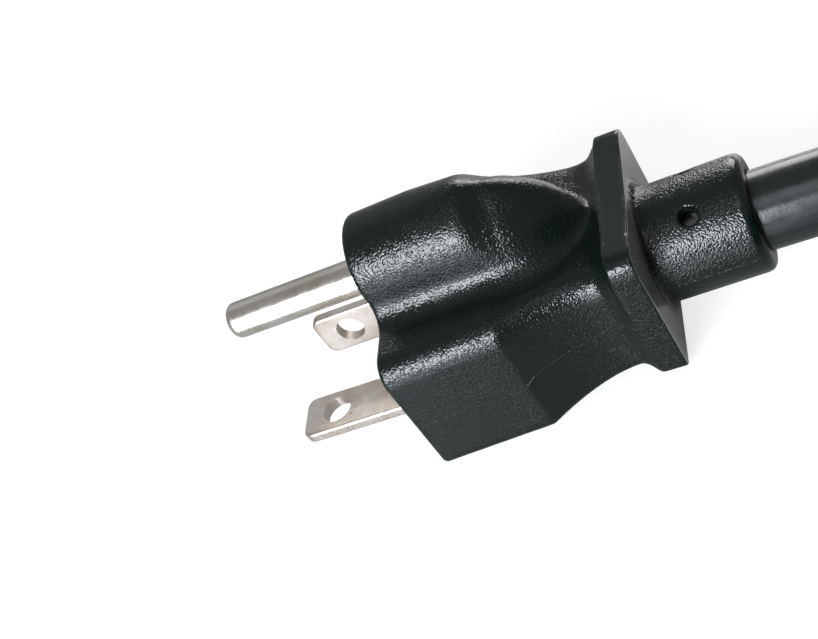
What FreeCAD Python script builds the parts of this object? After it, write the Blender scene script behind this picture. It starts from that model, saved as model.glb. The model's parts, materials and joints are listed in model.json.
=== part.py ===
"""Grounded power plug with a moulded-on cord, lying on its flat underside.

X runs across the blades, -Y is the way the pins point and +Z is towards the ground pin. The floor is
z = 0 and the origin lies under the middle of the plug, cord left out.
"""
import FreeCAD, Part
import math
import os
import Sketcher
from FreeCAD import Placement, Rotation, Vector

ACROSS = Vector(1, 0, 0)
BACK = Vector(0, 1, 0)
UP = Vector(0, 0, 1)
START, END, MIDDLE = 1, 2, 3
HORIZONTAL_AXIS, VERTICAL_AXIS = -1, -2
ORIGIN = (-1, START)
NEAR = 0.01

SIZES = {
    "ground_pin_length": 20.5,
    "blade_length": 16.6,
    "blade_spacing": 15.47,
    "ground_offset": 13.5,
    "blade_height": 6.6,
    "blade_width": 6.35,
    "blade_thickness": 1.52,
    "blade_edge_round": 0.35,
    "blade_tip_corner": 1.3,
    "blade_hole_diameter": 3.96,
    "blade_hole_distance": 11.9,
    "ground_pin_diameter": 4.7,
    "ground_pin_tip_round": 1.0,
    "shank_diameter": 4.2,
    "collar_diameter": 6.2,
    "collar_thickness": 2.0,
    "pin_relief_diameter": 5.3,
    "pin_relief_depth": 0.3,
    "body_length": 44.2,
    "nose_length": 14.7,
    "grip_length": 28.5,
    "waist_to_guard": 6.5,
    "flare_length": 1.6,
    "guard_thickness": 3.2,
    "front_half_width": 15.4,
    "front_bar_height": 17.7,
    "front_bar_depth": 17.7,
    "front_crest_height": 27.7,
    "front_lobe_radius": 6.3,
    "front_flank_lean": 1.0,
    "ridge_half_width": 14.4,
    "ridge_bar_height": 17.7,
    "ridge_bar_depth": 17.7,
    "ridge_crest_height": 28.0,
    "ridge_lobe_radius": 6.3,
    "ridge_flank_lean": 3.0,
    "waist_half_width": 11.95,
    "waist_bar_height": 17.2,
    "waist_bar_depth": 15.45,
    "waist_crest_height": 24.0,
    "waist_lobe_radius": 4.6,
    "waist_flank_lean": 20.0,
    "root_half_width": 11.5,
    "root_bar_height": 16.9,
    "root_bar_depth": 14.5,
    "root_crest_height": 17.1,
    "root_lobe_radius": 2.6,
    "root_flank_lean": 80.0,
    "shoulder_half_width": 12.1,
    "shoulder_bar_height": 17.4,
    "shoulder_bar_depth": 15.7,
    "shoulder_crest_height": 17.45,
    "shoulder_lobe_radius": 2.6,
    "shoulder_flank_lean": 85.0,
    "bar_corner_round": 3.0,
    "underside_corner_round": 0.8,
    "valley_round": 2.8,
    "front_rim_round": 0.6,
    "guard_half_width": 12.3,
    "guard_top": 17.8,
    "guard_depth": 16.4,
    "guard_top_dip": 0.3,
    "guard_top_corner": 2.2,
    "guard_lower_corner": 1.0,
    "sleeve_height": 9.2,
    "sleeve_diameter": 14.1,
    "sleeve_end_round": 1.1,
    "locating_hole_diameter": 2.2,
    "locating_hole_distance": 37.5,
    "locating_hole_lean": 33.0,
    "carrier_front": 2.6,
    "carrier_thickness": 7.0,
    "carrier_half_width": 12.4,
    "carrier_bar_depth": 9.0,
    "carrier_stem_half_width": 4.4,
    "carrier_stem_rise": 4.2,
    "carrier_edge_round": 0.8,
    "tail_length": 2.0,
    "tail_width": 3.6,
    "crimp_diameter": 4.4,
    "crimp_length": 6.0,
    "crimp_bore_depth": 5.0,
    "strand_diameter": 2.4,
    "core_diameter": 3.5,
    "core_gap": 0.15,
    "bare_gap": 0.8,
    "jacket_lap": 0.5,
    "cord_diameter": 9.54,
    "cord_droop_start": 56.0,
    "cord_droop_end": 83.0,
    "tie_thickness": 0.8,
    "tie_width": 8.0,
    "turn_gap": 0.1,
    "coil_middle_radius": 47.5,
    "coil_distance": 104.0,
    "coil_sweep": 327.0,
    "top_turn_lead": 89.0,
    "top_turn_sweep": 279.0,
    "tie_angle_near": 130.0,
    "tie_angle_far": 30.0,
    "stripped_length": 45.0,
    "bare_length": 8.0,
}
BOTTOM_TURNS = 3
ARC_SHARE = 0.45

doc = FreeCAD.newDocument("grounded_power_plug")
sheet = doc.addObject("Spreadsheet::Sheet", "Sizes")
for row, (alias, number) in enumerate(SIZES.items(), start=1):
    sheet.set(f"A{row}", alias.replace("_", " "))
    sheet.set(f"B{row}", str(number))
    sheet.setAlias(f"B{row}", alias)
doc.recompute()

size = {alias: float(sheet.get(alias)) for alias in SIZES}
face_y = (size["ground_pin_length"] - size["body_length"]) / 2
FACE_Y = "(Sizes.ground_pin_length - Sizes.body_length) / 2"
jacket_start = size["grip_length"] + size["guard_thickness"] - size["jacket_lap"]

LYING = "(Sizes.tie_thickness + Sizes.cord_diameter / 2)"
PITCH = "(Sizes.cord_diameter + Sizes.turn_gap)"
TOP_LANE = "Sizes.coil_middle_radius"
HALF_SPREAD = f"({(BOTTOM_TURNS - 1) / 2} * {PITCH})"
OUTER_LANE = f"({TOP_LANE} + {HALF_SPREAD})"
LAYER_RISE = f"({PITCH} * sqrt(3) / 2)"

lying = size["tie_thickness"] + size["cord_diameter"] / 2
pitch = size["cord_diameter"] + size["turn_gap"]
layer_rise = pitch * math.sqrt(3) / 2
top_lane = size["coil_middle_radius"]
half_spread = (BOTTOM_TURNS - 1) / 2 * pitch
outer_lane = top_lane + half_spread
inner_lane = top_lane - half_spread
top_height = lying + (BOTTOM_TURNS - 1) * layer_rise


def origin_part(body, role):
    """The origin plane or axis of a body that has this role."""
    return next(part for part in body.Origin.OriginFeatures if part.Role == role)


def new_body(label):
    body = doc.addObject("PartDesign::Body", label)
    body.Label = label
    return body


def new_sketch(body, name, role, offset=None):
    """A sketch on one of the body's origin planes, moved along its normal by an expression."""
    sketch = body.newObject("Sketcher::SketchObject", name)
    sketch.AttachmentSupport = [(origin_part(body, role), "")]
    sketch.MapMode = "FlatFace"
    if offset:
        sketch.setExpression("AttachmentOffset.Base.z", offset)
    return sketch


def bind(sketch, name, constraint, expression):
    """Add a named constraint and drive it from the sheet."""
    index = sketch.addConstraint(constraint)
    sketch.renameConstraint(index, name)
    sketch.setExpression(f"Constraints.{name}", expression)


def line(sketch, start, end):
    return sketch.addGeometry(Part.LineSegment(Vector(*start, 0), Vector(*end, 0)), False)


def arc(sketch, centre, radius, first, last):
    """A circular arc that runs anticlockwise from one angle to the other, in degrees."""
    circle = Part.Circle(Vector(*centre, 0), UP, radius)
    return sketch.addGeometry(Part.ArcOfCircle(circle, math.radians(first), math.radians(last)), False)


def circle(sketch, name, centre, diameter_alias):
    index = sketch.addGeometry(Part.Circle(Vector(*centre, 0), UP, size[diameter_alias] / 2), False)
    diameter = Sketcher.Constraint("Diameter", index, size[diameter_alias])
    bind(sketch, name, diameter, f"Sizes.{diameter_alias}")
    return index


def smooth(sketch, joints):
    """Join pairs of curve ends so that each runs on into the next."""
    for first, first_end, second, second_end in joints:
        sketch.addConstraint(Sketcher.Constraint("Tangent", first, first_end, second, second_end))


def extend(body, kind, name, sketch, length=None, back=False, midplane=False):
    """A pad or pocket of the sketch, as long as the expression says."""
    feature = body.newObject(kind, name)
    feature.Profile = sketch
    feature.Type = 0
    feature.Midplane = midplane
    feature.Reversed = back
    feature.setExpression("Length", length)
    return feature


def lobed_half_section(body, name, station, distance):
    """Right half of a section through the plug: a flat bar with the ground pin's lobe on top."""
    half_width = size[f"{station}_half_width"]
    bar_top = size[f"{station}_bar_height"]
    underside = bar_top - size[f"{station}_bar_depth"]
    crest = size[f"{station}_crest_height"]
    lobe = size[f"{station}_lobe_radius"]
    lean = math.radians(size[f"{station}_flank_lean"])
    corner = size["bar_corner_round"]
    lower_corner = size["underside_corner_round"]
    valley = size["valley_round"]

    flank_top = (lobe * math.cos(lean), crest - lobe + lobe * math.sin(lean))
    flank_run = (flank_top[1] - bar_top - valley * (1 - math.sin(lean))) / math.cos(lean)
    flank_foot = (flank_top[0] + flank_run * math.sin(lean), flank_top[1] - flank_run * math.cos(lean))
    valley_x = flank_foot[0] + valley * math.cos(lean)
    lean_degrees = math.degrees(lean)

    sketch = new_sketch(body, name, "XZ_Plane", f"-{distance}" if distance else None)
    foot = line(sketch, (0, underside), (half_width - lower_corner, underside))
    low = arc(sketch, (half_width - lower_corner, underside + lower_corner), lower_corner, -90, 0)
    side = line(sketch, (half_width, underside + lower_corner), (half_width, bar_top - corner))
    high = arc(sketch, (half_width - corner, bar_top - corner), corner, 0, 90)
    top = line(sketch, (half_width - corner, bar_top), (valley_x, bar_top))
    dip = arc(sketch, (valley_x, bar_top + valley), valley, 180 + lean_degrees, 270)
    flank = line(sketch, flank_foot, flank_top)
    crown = arc(sketch, (0, crest - lobe), lobe, lean_degrees, 90)
    middle = line(sketch, (0, crest), (0, underside))

    smooth(sketch, [
        (foot, END, low, START), (low, END, side, START), (side, END, high, START),
        (high, END, top, START), (top, END, dip, END), (dip, START, flank, START),
        (flank, END, crown, START),
    ])
    sketch.addConstraint(Sketcher.Constraint("Coincident", crown, END, middle, START))
    sketch.addConstraint(Sketcher.Constraint("Coincident", middle, END, foot, START))
    sketch.addConstraint(Sketcher.Constraint("Horizontal", foot))
    sketch.addConstraint(Sketcher.Constraint("Horizontal", top))
    sketch.addConstraint(Sketcher.Constraint("Vertical", side))
    sketch.addConstraint(Sketcher.Constraint("Vertical", middle))
    sketch.addConstraint(Sketcher.Constraint("PointOnObject", middle, START, VERTICAL_AXIS))
    sketch.addConstraint(Sketcher.Constraint("PointOnObject", crown, MIDDLE, VERTICAL_AXIS))
    bind(sketch, "lower_corner", Sketcher.Constraint("Radius", low, lower_corner),
         "Sizes.underside_corner_round")
    bind(sketch, "corner", Sketcher.Constraint("Radius", high, corner), "Sizes.bar_corner_round")
    bind(sketch, "valley", Sketcher.Constraint("Radius", dip, valley), "Sizes.valley_round")
    bind(sketch, "lobe", Sketcher.Constraint("Radius", crown, lobe), f"Sizes.{station}_lobe_radius")
    bind(sketch, "half_width", Sketcher.Constraint("DistanceX", *ORIGIN, side, START, half_width),
         f"Sizes.{station}_half_width")
    bind(sketch, "bar_height", Sketcher.Constraint("DistanceY", *ORIGIN, top, START, bar_top),
         f"Sizes.{station}_bar_height")
    bind(sketch, "bar_depth", Sketcher.Constraint("DistanceY", foot, START, top, START, bar_top - underside),
         f"Sizes.{station}_bar_depth")
    bind(sketch, "crest", Sketcher.Constraint("DistanceY", *ORIGIN, middle, START, crest),
         f"Sizes.{station}_crest_height")
    bind(sketch, "lean", Sketcher.Constraint("Angle", flank, math.pi / 2 + lean),
         f"(90 + Sizes.{station}_flank_lean) * 1 deg")
    return sketch


def guard_half_section(body, name, distance):
    """Right half of the guard plate: a rounded rectangle whose top edge dips towards its middle."""
    half_width, top, depth = size["guard_half_width"], size["guard_top"], size["guard_depth"]
    corner, lower_corner, dip = size["guard_top_corner"], size["guard_lower_corner"], size["guard_top_dip"]
    underside = top - depth
    reach = half_width - corner
    sweep_radius = (reach ** 2 + dip ** 2) / (2 * dip)
    sweep_angle = math.asin(reach / (sweep_radius + corner))
    crown = top - dip
    pivot = (0, crown + sweep_radius)
    corner_centre = (half_width - corner,
                     pivot[1] - (sweep_radius + corner) * math.cos(sweep_angle))
    turn = math.degrees(sweep_angle)

    sketch = new_sketch(body, name, "XZ_Plane", f"-{distance}")
    foot = line(sketch, (0, underside), (half_width - lower_corner, underside))
    low = arc(sketch, (half_width - lower_corner, underside + lower_corner), lower_corner, -90, 0)
    side = line(sketch, (half_width, underside + lower_corner), (half_width, corner_centre[1]))
    high = arc(sketch, corner_centre, corner, 0, 90 + turn)
    brow = arc(sketch, pivot, sweep_radius, 270, 270 + turn)
    middle = line(sketch, (0, crown), (0, underside))
    smooth(sketch, [
        (foot, END, low, START), (low, END, side, START), (side, END, high, START),
        (high, END, brow, END),
    ])
    sketch.addConstraint(Sketcher.Constraint("Coincident", brow, START, middle, START))
    sketch.addConstraint(Sketcher.Constraint("Coincident", middle, END, foot, START))
    sketch.addConstraint(Sketcher.Constraint("Horizontal", foot))
    sketch.addConstraint(Sketcher.Constraint("Vertical", side))
    sketch.addConstraint(Sketcher.Constraint("Vertical", middle))
    sketch.addConstraint(Sketcher.Constraint("PointOnObject", middle, START, VERTICAL_AXIS))
    sketch.addConstraint(Sketcher.Constraint("PointOnObject", brow, MIDDLE, VERTICAL_AXIS))
    bind(sketch, "lower_corner", Sketcher.Constraint("Radius", low, lower_corner), "Sizes.guard_lower_corner")
    bind(sketch, "corner", Sketcher.Constraint("Radius", high, corner), "Sizes.guard_top_corner")
    bind(sketch, "sweep", Sketcher.Constraint("Radius", brow, sweep_radius),
         "((Sizes.guard_half_width - Sizes.guard_top_corner) ^ 2 + Sizes.guard_top_dip ^ 2)"
         " / (2 * Sizes.guard_top_dip)")
    bind(sketch, "half_width", Sketcher.Constraint("DistanceX", *ORIGIN, side, START, half_width),
         "Sizes.guard_half_width")
    bind(sketch, "crown", Sketcher.Constraint("DistanceY", *ORIGIN, middle, START, crown),
         "Sizes.guard_top - Sizes.guard_top_dip")
    bind(sketch, "depth", Sketcher.Constraint("DistanceY", foot, START, middle, START, crown - underside),
         "Sizes.guard_depth - Sizes.guard_top_dip")
    return sketch


def edges_where(shape, test):
    """Names of the edges whose every vertex and middle point pass the test."""
    names = []
    for index, edge in enumerate(shape.Edges, start=1):
        half = (edge.FirstParameter + edge.LastParameter) / 2
        points = [vertex.Point for vertex in edge.Vertexes] + [edge.valueAt(half)]
        if all(test(point) for point in points):
            names.append(f"Edge{index}")
    return names


def round_edges(body, name, base, edges, alias):
    fillet = body.newObject("PartDesign::Fillet", name)
    fillet.Base = (base, edges)
    fillet.setExpression("Radius", f"Sizes.{alias}")
    return fillet


def place(body, across="0", height="0", turn=0.0):
    """Set a body's place: across and height as expressions, at the front face, turned about Y."""
    body.Placement = Placement(Vector(0, 0, 0), Rotation(BACK, turn))
    body.setExpression("Placement.Base.x", across)
    body.setExpression("Placement.Base.y", FACE_Y)
    body.setExpression("Placement.Base.z", height)


def make_outer_moulding():
    """Nose, grip, guard plate and sleeve in one moulding, not yet hollowed for what it holds."""
    body = new_body("outer_moulding")
    front = lobed_half_section(body, "front_section", "front", None)
    ridge = lobed_half_section(body, "ridge_section", "ridge", "Sizes.nose_length")
    waist_place = "(Sizes.grip_length - Sizes.waist_to_guard)"
    root_place = "(Sizes.grip_length - Sizes.flare_length)"
    waist = lobed_half_section(body, "waist_section", "waist", waist_place)
    root = lobed_half_section(body, "root_section", "root", root_place)
    shoulder = lobed_half_section(body, "shoulder_section", "shoulder", "Sizes.grip_length")
    nose = body.newObject("PartDesign::AdditiveLoft", "nose")
    nose.Profile = front
    nose.Sections = [ridge]
    nose.Ruled = True
    grip = body.newObject("PartDesign::AdditiveLoft", "grip")
    grip.Profile = ridge
    grip.Sections = [waist, root]
    flare = body.newObject("PartDesign::AdditiveLoft", "flare")
    flare.Profile = root
    flare.Sections = [shoulder]
    flare.Ruled = True
    guard_sketch = guard_half_section(body, "guard_section", "Sizes.grip_length")
    guard = extend(body, "PartDesign::Pad", "guard", guard_sketch, "Sizes.guard_thickness", back=True)
    doc.recompute()
    whole = body.newObject("PartDesign::Mirrored", "both_halves")
    whole.Originals = [nose, grip, flare, guard]
    whole.MirrorPlane = (origin_part(body, "YZ_Plane"), [""])
    body.Tip = whole
    doc.recompute()

    guard_back = "(Sizes.grip_length + Sizes.guard_thickness)"
    sleeve_sketch = new_sketch(body, "sleeve_section", "XZ_Plane", f"-{guard_back}")
    ring = circle(sleeve_sketch, "diameter", (0, size["sleeve_height"]), "sleeve_diameter")
    sleeve_sketch.addConstraint(Sketcher.Constraint("PointOnObject", ring, MIDDLE, VERTICAL_AXIS))
    bind(sleeve_sketch, "height", Sketcher.Constraint("DistanceY", *ORIGIN, ring, MIDDLE,
         size["sleeve_height"]), "Sizes.sleeve_height")
    sleeve = extend(body, "PartDesign::Pad", "sleeve", sleeve_sketch,
                    f"Sizes.body_length - {guard_back}", back=True)
    doc.recompute()

    rim = edges_where(sleeve.Shape, lambda point: abs(point.y) < NEAR)
    front_rim = round_edges(body, "front_rim", sleeve, rim, "front_rim_round")
    doc.recompute()
    sleeve_end = size["body_length"]
    rear = edges_where(front_rim.Shape, lambda point: abs(point.y - sleeve_end) < NEAR)
    round_edges(body, "sleeve_end", front_rim, rear, "sleeve_end_round")
    doc.recompute()

    for index, (side, base) in enumerate(((1, 0), (-1, 0), (1, 180), (-1, 180)), start=1):
        sketch = new_sketch(body, f"locating_hole_section_{index}", "XY_Plane", "Sizes.sleeve_height")
        lean = f"({base} + {side} * Sizes.locating_hole_lean) * 1 deg"
        sketch.setExpression("AttachmentOffset.Rotation.Angle", lean)
        sketch.setExpression("AttachmentOffset.Rotation.Axis.y", "1")
        sketch.setExpression("AttachmentOffset.Rotation.Axis.z", "0")
        hole = circle(sketch, "diameter", (0, size["locating_hole_distance"]), "locating_hole_diameter")
        sketch.addConstraint(Sketcher.Constraint("PointOnObject", hole, MIDDLE, VERTICAL_AXIS))
        bind(sketch, "distance", Sketcher.Constraint("DistanceY", *ORIGIN, hole, MIDDLE,
             size["locating_hole_distance"]), "Sizes.locating_hole_distance")
        extend(body, "PartDesign::Pocket", f"locating_hole_{index}", sketch, "Sizes.sleeve_diameter",
               back=True)
    place(body)
    doc.recompute()
    return body


def crimp_barrel(body, base_distance):
    """A round barrel behind a contact's tail, bored from the back for the bare strands."""
    barrel_sketch = new_sketch(body, "barrel_section", "XZ_Plane", f"-({base_distance})")
    ring = circle(barrel_sketch, "diameter", (0, 0), "crimp_diameter")
    barrel_sketch.addConstraint(Sketcher.Constraint("Coincident", ring, MIDDLE, *ORIGIN))
    extend(body, "PartDesign::Pad", "barrel", barrel_sketch, "Sizes.crimp_length", back=True)
    bore_sketch = new_sketch(body, "bore_section", "XZ_Plane", f"-({base_distance} + Sizes.crimp_length)")
    hole = circle(bore_sketch, "diameter", (0, 0), "strand_diameter")
    bore_sketch.addConstraint(Sketcher.Constraint("Coincident", hole, MIDDLE, *ORIGIN))
    doc.recompute()
    extend(body, "PartDesign::Pocket", "strand_bore", bore_sketch, "Sizes.crimp_bore_depth", back=True)
    doc.recompute()


def make_blade(label, across, turn):
    """A flat blade with rounded long edges, a hole near its tip, a tail and a crimp barrel."""
    body = new_body(label)
    half = size["blade_width"] / 2
    corner = size["blade_tip_corner"]
    tip = -size["blade_length"]
    back = size["carrier_front"] + size["carrier_thickness"]
    tail = size["tail_width"] / 2
    end = back + size["tail_length"]

    sketch = new_sketch(body, "blade_outline", "XY_Plane")
    tip_edge = line(sketch, (-half + corner, tip), (half - corner, tip))
    right_corner = arc(sketch, (half - corner, tip + corner), corner, -90, 0)
    right_side = line(sketch, (half, tip + corner), (half, back))
    right_shoulder = line(sketch, (half, back), (tail, back))
    right_tail = line(sketch, (tail, back), (tail, end))
    tail_edge = line(sketch, (tail, end), (-tail, end))
    left_tail = line(sketch, (-tail, end), (-tail, back))
    left_shoulder = line(sketch, (-tail, back), (-half, back))
    left_side = line(sketch, (-half, back), (-half, tip + corner))
    left_corner = arc(sketch, (-half + corner, tip + corner), corner, 180, 270)
    smooth(sketch, [
        (tip_edge, END, right_corner, START), (right_corner, END, right_side, START),
        (left_side, END, left_corner, START), (left_corner, END, tip_edge, START),
    ])
    chain = [right_side, right_shoulder, right_tail, tail_edge, left_tail, left_shoulder, left_side]
    for first, second in zip(chain, chain[1:]):
        sketch.addConstraint(Sketcher.Constraint("Coincident", first, END, second, START))
    for level in (tip_edge, right_shoulder, left_shoulder):
        sketch.addConstraint(Sketcher.Constraint("Horizontal", level))
    for upright in (right_side, right_tail, left_tail, left_side):
        sketch.addConstraint(Sketcher.Constraint("Vertical", upright))
    sketch.addConstraint(Sketcher.Constraint("Symmetric", right_side, END, left_side, START, VERTICAL_AXIS))
    sketch.addConstraint(Sketcher.Constraint("Symmetric", right_tail, END, left_tail, START, VERTICAL_AXIS))
    sketch.addConstraint(Sketcher.Constraint("Equal", right_corner, left_corner))
    bind(sketch, "width", Sketcher.Constraint("DistanceX", left_side, START, right_side, END, 2 * half),
         "Sizes.blade_width")
    bind(sketch, "tail_width", Sketcher.Constraint("DistanceX", left_tail, START, right_tail, END, 2 * tail),
         "Sizes.tail_width")
    bind(sketch, "corner", Sketcher.Constraint("Radius", right_corner, corner), "Sizes.blade_tip_corner")
    bind(sketch, "length", Sketcher.Constraint("DistanceY", tip_edge, START, *ORIGIN, -tip),
         "Sizes.blade_length")
    bind(sketch, "seat", Sketcher.Constraint("DistanceY", *ORIGIN, right_side, END, back),
         "Sizes.carrier_front + Sizes.carrier_thickness")
    bind(sketch, "tail", Sketcher.Constraint("DistanceY", right_tail, START, right_tail, END, end - back),
         "Sizes.tail_length")
    hole = circle(sketch, "hole", (0, -size["blade_hole_distance"]), "blade_hole_diameter")
    sketch.addConstraint(Sketcher.Constraint("PointOnObject", hole, MIDDLE, VERTICAL_AXIS))
    bind(sketch, "hole_distance", Sketcher.Constraint("DistanceY", hole, MIDDLE, *ORIGIN,
         size["blade_hole_distance"]), "Sizes.blade_hole_distance")
    blade = extend(body, "PartDesign::Pad", "blade", sketch, "Sizes.blade_thickness", midplane=True)
    doc.recompute()

    thick = size["blade_thickness"] / 2
    hole_reach = size["blade_hole_diameter"] / 2 + NEAR

    def on_rim(point):
        clear_of_hole = math.hypot(point.x, point.y + size["blade_hole_distance"]) > hole_reach
        inside_outline = abs(point.x) < half - corner - NEAR and point.y > tip + NEAR
        on_face = abs(abs(point.z) - thick) < NEAR and point.y < back + NEAR
        return on_face and clear_of_hole and not inside_outline

    long_edges = edges_where(blade.Shape, on_rim)
    round_edges(body, "long_edges", blade, long_edges, "blade_edge_round")
    doc.recompute()
    crimp_barrel(body, "Sizes.carrier_front + Sizes.carrier_thickness + Sizes.tail_length / 2")
    place(body, across, "Sizes.blade_height", turn)
    return body


def make_ground_pin():
    """A solid turned pin with a rounded end, a thinner shank with a collar, and a crimp barrel."""
    body = new_body("ground_pin")
    radius = size["ground_pin_diameter"] / 2
    tip_round = size["ground_pin_tip_round"]
    tip = -size["ground_pin_length"]
    shank = size["shank_diameter"] / 2
    collar = size["collar_diameter"] / 2
    collar_back = size["carrier_front"] + size["carrier_thickness"] / 2
    collar_front = collar_back - size["collar_thickness"]
    back = size["carrier_front"] + size["carrier_thickness"] + size["tail_length"]

    sketch = new_sketch(body, "pin_half_section", "XY_Plane")
    corners = [
        (radius, tip + tip_round), (radius, 0), (shank, 0), (shank, collar_front), (collar, collar_front),
        (collar, collar_back), (shank, collar_back), (shank, back), (0, back), (0, tip),
        (radius - tip_round, tip),
    ]
    sides = [line(sketch, first, second) for first, second in zip(corners, corners[1:])]
    nose = arc(sketch, (radius - tip_round, tip + tip_round), tip_round, -90, 0)
    for first, second in zip(sides, sides[1:]):
        sketch.addConstraint(Sketcher.Constraint("Coincident", first, END, second, START))
    smooth(sketch, [(sides[-1], END, nose, START), (nose, END, sides[0], START)])
    for index, side in enumerate(sides):
        sketch.addConstraint(Sketcher.Constraint("Vertical" if index % 2 == 0 else "Horizontal", side))
    outer, seat, neck, step, rim, drop, rear_shank, back_edge, axis, tip_edge = sides
    sketch.addConstraint(Sketcher.Constraint("PointOnObject", axis, START, VERTICAL_AXIS))
    sketch.addConstraint(Sketcher.Constraint("PointOnObject", outer, END, HORIZONTAL_AXIS))
    bind(sketch, "radius", Sketcher.Constraint("DistanceX", *ORIGIN, outer, START, radius),
         "Sizes.ground_pin_diameter / 2")
    bind(sketch, "neck_radius", Sketcher.Constraint("DistanceX", *ORIGIN, neck, START, shank),
         "Sizes.shank_diameter / 2")
    bind(sketch, "shank_radius", Sketcher.Constraint("DistanceX", *ORIGIN, rear_shank, START, shank),
         "Sizes.shank_diameter / 2")
    bind(sketch, "collar", Sketcher.Constraint("DistanceX", *ORIGIN, rim, START, collar),
         "Sizes.collar_diameter / 2")
    bind(sketch, "tip_round", Sketcher.Constraint("Radius", nose, tip_round), "Sizes.ground_pin_tip_round")
    bind(sketch, "length", Sketcher.Constraint("DistanceY", tip_edge, START, *ORIGIN, -tip),
         "Sizes.ground_pin_length")
    bind(sketch, "collar_back", Sketcher.Constraint("DistanceY", *ORIGIN, rim, END, collar_back),
         "Sizes.carrier_front + Sizes.carrier_thickness / 2")
    bind(sketch, "collar_thickness", Sketcher.Constraint("DistanceY", rim, START, rim, END,
         size["collar_thickness"]), "Sizes.collar_thickness")
    bind(sketch, "back", Sketcher.Constraint("DistanceY", *ORIGIN, rear_shank, END, back),
         "Sizes.carrier_front + Sizes.carrier_thickness + Sizes.tail_length")
    turned = body.newObject("PartDesign::Revolution", "turned_pin")
    turned.Profile = sketch
    turned.ReferenceAxis = (sketch, ["V_Axis"])
    turned.Angle = 360
    doc.recompute()
    crimp_barrel(body, "Sizes.carrier_front + Sizes.carrier_thickness + Sizes.tail_length / 2")
    place(body, "0", "Sizes.blade_height + Sizes.ground_offset")
    return body


def make_carrier_blank():
    """The inner frame before its slots are cut: a bar across both blades with a stem to the ground pin."""
    body = new_body("carrier_blank")
    half, stem = size["carrier_half_width"], size["carrier_stem_half_width"]
    low = size["blade_height"] - size["carrier_bar_depth"] / 2
    high = size["blade_height"] + size["carrier_bar_depth"] / 2
    top = size["blade_height"] + size["ground_offset"] + size["carrier_stem_rise"]
    sketch = new_sketch(body, "carrier_outline", "XZ_Plane", "-Sizes.carrier_front")
    corners = [
        (-half, low), (half, low), (half, high), (stem, high), (stem, top), (-stem, top), (-stem, high),
        (-half, high),
    ]
    sides = [line(sketch, first, second) for first, second in zip(corners, corners[1:] + corners[:1])]
    for first, second in zip(sides, sides[1:] + sides[:1]):
        sketch.addConstraint(Sketcher.Constraint("Coincident", first, END, second, START))
    bottom, right, right_step, right_stem, stem_top, left_stem, left_step, left = sides
    for level in (right_step, left_step):
        sketch.addConstraint(Sketcher.Constraint("Horizontal", level))
    for upright in (right, right_stem, left_stem, left):
        sketch.addConstraint(Sketcher.Constraint("Vertical", upright))
    sketch.addConstraint(Sketcher.Constraint("Symmetric", bottom, START, bottom, END, VERTICAL_AXIS))
    sketch.addConstraint(Sketcher.Constraint("Symmetric", stem_top, START, stem_top, END, VERTICAL_AXIS))
    sketch.addConstraint(Sketcher.Constraint("Equal", right, left))
    bind(sketch, "width", Sketcher.Constraint("DistanceX", bottom, START, bottom, END, 2 * half),
         "2 * Sizes.carrier_half_width")
    bind(sketch, "stem_width", Sketcher.Constraint("DistanceX", stem_top, END, stem_top, START, 2 * stem),
         "2 * Sizes.carrier_stem_half_width")
    bind(sketch, "depth", Sketcher.Constraint("DistanceY", right, START, right, END, high - low),
         "Sizes.carrier_bar_depth")
    bind(sketch, "low", Sketcher.Constraint("DistanceY", *ORIGIN, bottom, START, low),
         "Sizes.blade_height - Sizes.carrier_bar_depth / 2")
    bind(sketch, "top", Sketcher.Constraint("DistanceY", *ORIGIN, stem_top, START, top),
         "Sizes.blade_height + Sizes.ground_offset + Sizes.carrier_stem_rise")
    slab = extend(body, "PartDesign::Pad", "slab", sketch, "Sizes.carrier_thickness", back=True)
    doc.recompute()
    front, back = size["carrier_front"], size["carrier_front"] + size["carrier_thickness"]
    upright_edges = [
        f"Edge{index}" for index, edge in enumerate(slab.Shape.Edges, start=1)
        if {round(vertex.Point.y, 3) for vertex in edge.Vertexes} == {round(front, 3), round(back, 3)}
    ]
    round_edges(body, "corners", slab, upright_edges, "carrier_edge_round")
    place(body)
    doc.recompute()
    return body


def named_shape(label, shape):
    """A plain shape as an object of the document."""
    feature = doc.addObject("Part::Feature", label)
    feature.Label = label
    feature.Shape = shape
    return feature


def s_bend(start, end, stub):
    """A path that leaves and arrives along +Y, with two equal arcs between short straight ends."""
    aside = Vector(end.x - start.x, 0, end.z - start.z)
    shift = aside.Length
    run = end.y - start.y - 2 * stub
    radius = (run ** 2 + shift ** 2) / (4 * shift)
    sweep = math.asin(run / (2 * radius))
    aside.normalize()
    first = start + BACK * stub
    last = end - BACK * stub
    middle = (first + last) / 2
    bulge = first + BACK * (radius * math.sin(sweep / 2)) + aside * (radius * (1 - math.cos(sweep / 2)))
    mirrored_bulge = middle * 2 - bulge
    return Part.Wire([
        Part.LineSegment(start, first).toShape(), Part.Arc(first, bulge, middle).toShape(),
        Part.Arc(middle, mirrored_bulge, last).toShape(), Part.LineSegment(last, end).toShape(),
    ])


def swept_rod(path, start, direction, radius):
    """A solid round rod along the path."""
    ring = Part.Wire([Part.Circle(start, direction, radius).toShape()])
    return path.makePipeShell([ring], True, False)


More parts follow.
